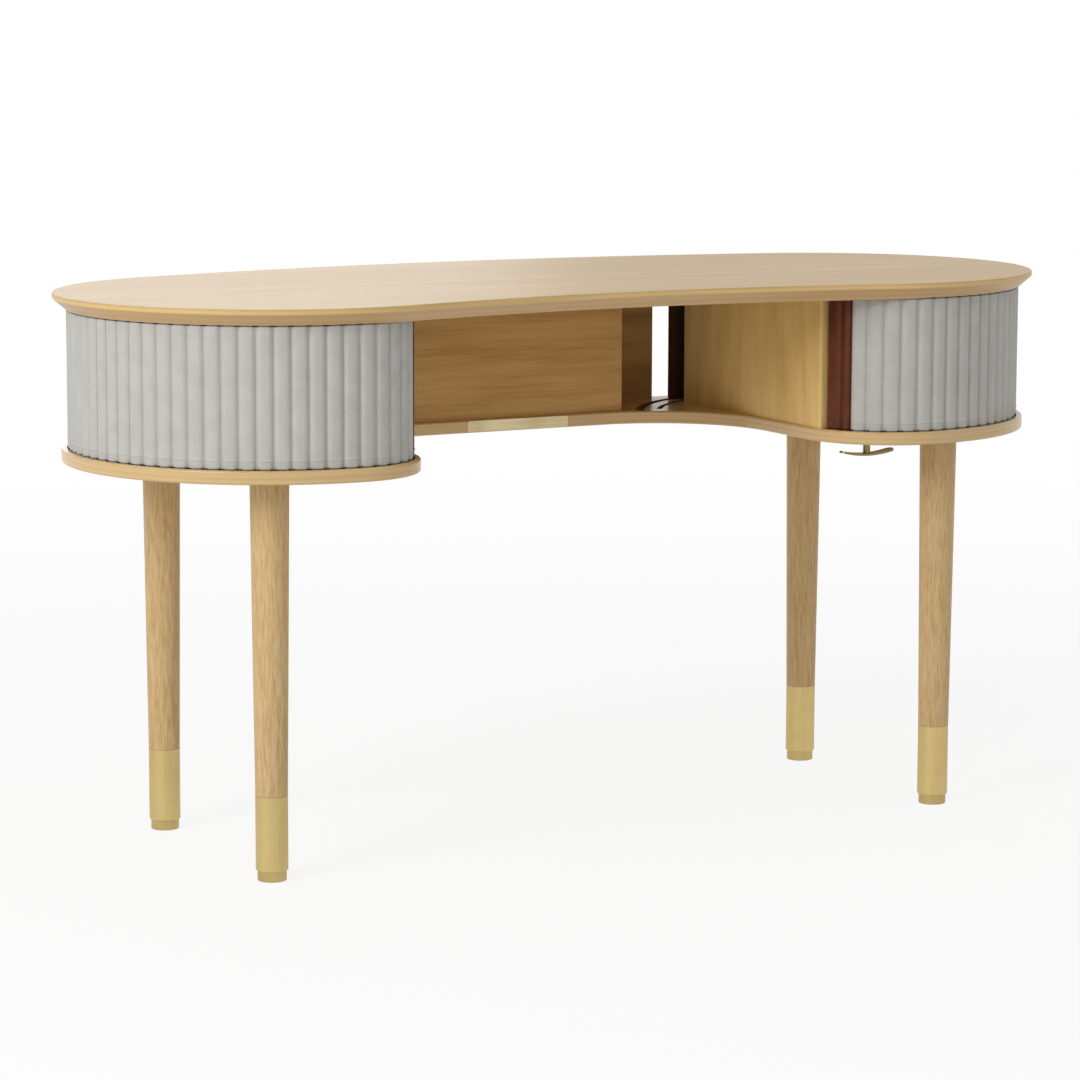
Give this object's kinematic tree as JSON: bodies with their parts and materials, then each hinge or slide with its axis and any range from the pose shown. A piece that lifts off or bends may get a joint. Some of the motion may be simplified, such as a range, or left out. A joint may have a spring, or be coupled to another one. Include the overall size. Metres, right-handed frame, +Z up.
{
  "type": "tambour desk",
  "caption": "Kidney-shaped oak writing desk on round brass-shod legs, with a round storage pod at each end closed by a sliding curtain of leather-wrapped slats.",
  "frame": {"origin": "on the floor under the middle of the desktop's outline", "axes": "+X to the right of a person seated at the desk, +Y to the rear, +Z up"},
  "size_m": [1.46, 0.6399, 0.76],
  "materials": {
    "oak": "satin lacquer",
    "brass": "satin brushed",
    "grey_leather": "fine grain, matte",
    "brown_leather": "smooth, polished",
    "canvas": "plain weave",
    "steel": "zinc plated"
  },
  "bodies": {
    "frame": {"desktop": "oak", "shelf": "oak", "inner_back_panel": "oak", "outer_back_panel": "oak", "left_divider": "oak", "right_divider": "oak", "panel_dowels": "oak", "edge_plate": "brass", "hook_bar": "brass", "hook_stem": "brass", "leg_bolts": "steel", "leg_inserts": "steel", "left_front_leg": "oak", "left_front_ferrule": "brass", "left_front_foot": "brass", "right_front_leg": "oak", "right_front_ferrule": "brass", "right_front_foot": "brass", "left_rear_leg": "oak", "left_rear_ferrule": "brass", "left_rear_foot": "brass", "right_rear_leg": "oak", "right_rear_ferrule": "brass", "right_rear_foot": "brass"},
    "left_curtain": {"left_tambour_slats": "grey_leather", "left_rear_pull_slats": "brown_leather", "left_tambour_canvas": "canvas"},
    "left_lead_slat_1": {"left_lead_slat_1": "brown_leather"},
    "left_lead_slat_2": {"left_lead_slat_2": "brown_leather"},
    "left_lead_slat_3": {"left_lead_slat_3": "grey_leather"},
    "left_lead_slat_4": {"left_lead_slat_4": "grey_leather"},
    "left_lead_slat_5": {"left_lead_slat_5": "grey_leather"},
    "left_lead_slat_6": {"left_lead_slat_6": "grey_leather"},
    "left_lead_slat_7": {"left_lead_slat_7": "grey_leather"},
    "right_curtain": {"right_tambour_slats": "grey_leather", "right_rear_pull_slats": "brown_leather", "right_tambour_canvas": "canvas"},
    "right_lead_slat_1": {"right_lead_slat_1": "brown_leather"},
    "right_lead_slat_2": {"right_lead_slat_2": "brown_leather"},
    "right_lead_slat_3": {"right_lead_slat_3": "grey_leather"},
    "right_lead_slat_4": {"right_lead_slat_4": "grey_leather"},
    "right_lead_slat_5": {"right_lead_slat_5": "grey_leather"},
    "right_lead_slat_6": {"right_lead_slat_6": "grey_leather"},
    "right_lead_slat_7": {"right_lead_slat_7": "grey_leather"}
  },
  "joints": [
    {"name": "left_tambour", "type": "hinge", "parent": "frame", "child": "left_curtain", "pos_m": [-0.438, -0.028, 0.644], "axis": [0, 0, -1], "range_deg": [0, 32]},
    {"name": "left_lead_slat_1_turn", "type": "hinge", "parent": "frame", "child": "left_lead_slat_1", "pos_m": [-0.44025, -0.17744, 0.644], "axis": [0, 0, -1], "range_deg": [0, 73.67]},
    {"name": "left_lead_slat_2_turn", "type": "hinge", "parent": "frame", "child": "left_lead_slat_2", "pos_m": [-0.44511, -0.16777, 0.644], "axis": [0, 0, -1], "range_deg": [0, 67.59]},
    {"name": "left_lead_slat_3_turn", "type": "hinge", "parent": "frame", "child": "left_lead_slat_3", "pos_m": [-0.4488, -0.15662, 0.644], "axis": [0, 0, -1], "range_deg": [0, 61.99]},
    {"name": "left_lead_slat_4_turn", "type": "hinge", "parent": "frame", "child": "left_lead_slat_4", "pos_m": [-0.45198, -0.1386, 0.644], "axis": [0, 0, -1], "range_deg": [0, 54.86]},
    {"name": "left_lead_slat_5_turn", "type": "hinge", "parent": "frame", "child": "left_lead_slat_5", "pos_m": [-0.45271, -0.11497, 0.644], "axis": [0, 0, -1], "range_deg": [0, 47.73]},
    {"name": "left_lead_slat_6_turn", "type": "hinge", "parent": "frame", "child": "left_lead_slat_6", "pos_m": [-0.44977, -0.08336, 0.644], "axis": [0, 0, -1], "range_deg": [0, 40.6]},
    {"name": "left_lead_slat_7_turn", "type": "hinge", "parent": "frame", "child": "left_lead_slat_7", "pos_m": [-0.44091, -0.03934, 0.644], "axis": [0, 0, -1], "range_deg": [0, 33.47]},
    {"name": "right_tambour", "type": "hinge", "parent": "frame", "child": "right_curtain", "pos_m": [0.438, -0.028, 0.644], "axis": [0, 0, 1], "range_deg": [0, 32]},
    {"name": "right_lead_slat_1_turn", "type": "hinge", "parent": "frame", "child": "right_lead_slat_1", "pos_m": [0.44025, -0.17744, 0.644], "axis": [0, 0, 1], "range_deg": [0, 73.67]},
    {"name": "right_lead_slat_2_turn", "type": "hinge", "parent": "frame", "child": "right_lead_slat_2", "pos_m": [0.44511, -0.16777, 0.644], "axis": [0, 0, 1], "range_deg": [0, 67.59]},
    {"name": "right_lead_slat_3_turn", "type": "hinge", "parent": "frame", "child": "right_lead_slat_3", "pos_m": [0.4488, -0.15662, 0.644], "axis": [0, 0, 1], "range_deg": [0, 61.99]},
    {"name": "right_lead_slat_4_turn", "type": "hinge", "parent": "frame", "child": "right_lead_slat_4", "pos_m": [0.45198, -0.1386, 0.644], "axis": [0, 0, 1], "range_deg": [0, 54.86]},
    {"name": "right_lead_slat_5_turn", "type": "hinge", "parent": "frame", "child": "right_lead_slat_5", "pos_m": [0.45271, -0.11497, 0.644], "axis": [0, 0, 1], "range_deg": [0, 47.73]},
    {"name": "right_lead_slat_6_turn", "type": "hinge", "parent": "frame", "child": "right_lead_slat_6", "pos_m": [0.44977, -0.08336, 0.644], "axis": [0, 0, 1], "range_deg": [0, 40.6]},
    {"name": "right_lead_slat_7_turn", "type": "hinge", "parent": "frame", "child": "right_lead_slat_7", "pos_m": [0.44091, -0.03934, 0.644], "axis": [0, 0, 1], "range_deg": [0, 33.47]}
  ],
  "couplings": [
    {"joint": "left_lead_slat_1_turn", "follows": "left_tambour", "ratio": 2.3021},
    {"joint": "left_lead_slat_2_turn", "follows": "left_tambour", "ratio": 2.1122},
    {"joint": "left_lead_slat_3_turn", "follows": "left_tambour", "ratio": 1.937},
    {"joint": "left_lead_slat_4_turn", "follows": "left_tambour", "ratio": 1.7143},
    {"joint": "left_lead_slat_5_turn", "follows": "left_tambour", "ratio": 1.4915},
    {"joint": "left_lead_slat_6_turn", "follows": "left_tambour", "ratio": 1.2688},
    {"joint": "left_lead_slat_7_turn", "follows": "left_tambour", "ratio": 1.046},
    {"joint": "right_lead_slat_1_turn", "follows": "right_tambour", "ratio": 2.3021},
    {"joint": "right_lead_slat_2_turn", "follows": "right_tambour", "ratio": 2.1122},
    {"joint": "right_lead_slat_3_turn", "follows": "right_tambour", "ratio": 1.937},
    {"joint": "right_lead_slat_4_turn", "follows": "right_tambour", "ratio": 1.7143},
    {"joint": "right_lead_slat_5_turn", "follows": "right_tambour", "ratio": 1.4915},
    {"joint": "right_lead_slat_6_turn", "follows": "right_tambour", "ratio": 1.2688},
    {"joint": "right_lead_slat_7_turn", "follows": "right_tambour", "ratio": 1.046}
  ]
}
